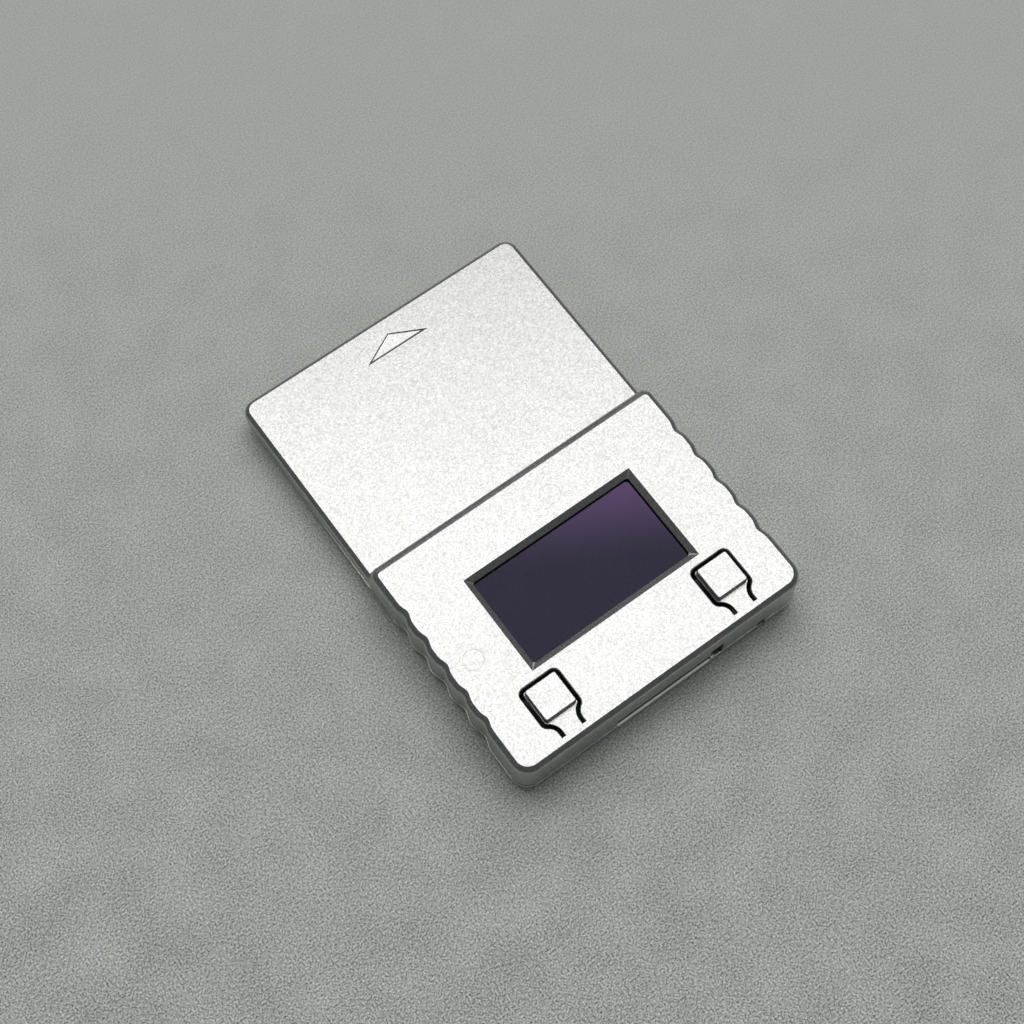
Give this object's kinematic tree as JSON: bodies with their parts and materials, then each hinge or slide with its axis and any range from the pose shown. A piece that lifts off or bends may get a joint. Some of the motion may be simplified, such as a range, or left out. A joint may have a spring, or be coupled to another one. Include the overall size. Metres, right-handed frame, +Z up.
{
  "type": "memory card",
  "caption": "Flat console memory card with a thin insertion end, a raised waved grip, a bevelled display window, flexing push buttons and a rear card slot.",
  "frame": {"origin": "middle of the underside, at the bottom centre of the bounding box", "axes": "+Z up out of the display face, +Y along the length towards the insertion end, X across the width"},
  "size_m": [0.0428, 0.0614, 0.0089],
  "materials": {
    "silver_shell": "satin metallic silver paint with fine flake",
    "board_laminate": "green solder mask",
    "gold_plating": "gold plated",
    "display_glass": "clear glass",
    "polariser_film": "dark violet film under a smooth face",
    "chip_body": "black moulding compound",
    "flex_film": "amber film",
    "foam": "black closed-cell foam",
    "spring_steel": "bright stamped sheet",
    "switch_plastic": "black plastic",
    "ceramic": "ceramic with tinned ends",
    "screw_steel": "zinc plated"
  },
  "bodies": {
    "card": {"upper_shell": "silver_shell", "lower_shell": "silver_shell", "main_board": "board_laminate", "edge_contacts": "gold_plating", "display_glass": "display_glass", "display_cap": "display_glass", "display_polariser": "polariser_film", "display_driver": "chip_body", "display_flex": "flex_film", "display_cushion": "foam", "left_switch_body": "chip_body", "left_switch_cover": "spring_steel", "right_switch_body": "chip_body", "right_switch_cover": "spring_steel", "reader_base": "chip_body", "reader_cover": "spring_steel", "reader_contacts": "gold_plating", "controller_chip": "chip_body", "memory_chip": "chip_body", "logic_chip": "chip_body", "clock_crystal": "spring_steel", "voltage_regulator": "chip_body", "capacitors": "ceramic", "resistors": "chip_body", "left_screw": "screw_steel", "right_screw": "screw_steel"},
    "left_key": {"left_button": "silver_shell", "left_switch_plunger": "switch_plastic"},
    "right_key": {"right_button": "silver_shell", "right_switch_plunger": "switch_plastic"}
  },
  "joints": [
    {"name": "left_button_press", "type": "hinge", "parent": "card", "child": "left_key", "pos_m": [-0.01285, -0.02913, 0.00755], "axis": [-1, 0, 0], "range_deg": [0, 3], "stiffness_Nm_per_rad": 0.12},
    {"name": "right_button_press", "type": "hinge", "parent": "card", "child": "right_key", "pos_m": [0.01285, -0.02913, 0.00755], "axis": [-1, 0, 0], "range_deg": [0, 3], "stiffness_Nm_per_rad": 0.12}
  ]
}
